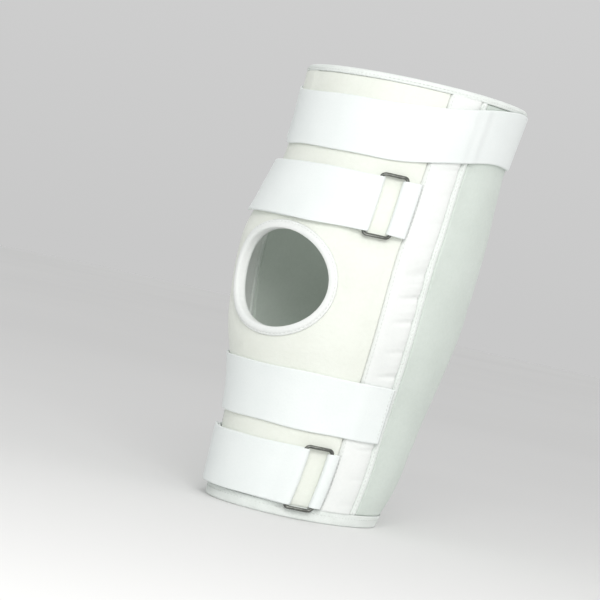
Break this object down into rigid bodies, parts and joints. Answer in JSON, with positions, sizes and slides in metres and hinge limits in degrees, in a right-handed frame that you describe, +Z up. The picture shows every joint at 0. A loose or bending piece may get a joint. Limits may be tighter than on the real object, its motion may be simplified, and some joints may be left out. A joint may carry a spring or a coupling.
{
  "type": "knee immobilizer",
  "caption": "Padded foam knee sleeve with an open knee hole, side stay pockets, hook-and-loop straps and wire rings.",
  "frame": {"origin": "on the surface that the hem stands on, under the middle of the bounding box", "axes": "+Z up from the calf end to the thigh end; -Y is the front with the knee hole; +X is the side with the two rings"},
  "size_m": [0.1826, 0.2268, 0.356],
  "materials": {
    "front_cloth": "brushed loop cloth on foam, pale ivory",
    "back_cloth": "brushed loop cloth on foam, cool white",
    "pocket_cloth": "brushed loop cloth, white",
    "binding_tape": "ribbed woven tape, white",
    "strap_loop": "hook-and-loop strap, white pile",
    "ring_metal": "nickel-plated wire, dulled"
  },
  "bodies": {
    "root": {"front_panel": "front_cloth", "back_panel": "back_cloth", "knee_hole_binding": "binding_tape", "stay_pocket_right": "pocket_cloth", "seam_tape_right": "binding_tape", "stay_pocket_left": "pocket_cloth", "seam_tape_left": "binding_tape", "hem": "binding_tape", "top_binding": "binding_tape", "thigh_strap_upper": "strap_loop", "calf_strap_upper": "strap_loop", "thigh_strap_lower": "strap_loop", "thigh_ring_tab": "strap_loop", "thigh_ring": "ring_metal", "calf_strap_lower": "strap_loop", "calf_ring_tab": "strap_loop", "calf_ring": "ring_metal"}
  },
  "joints": []
}
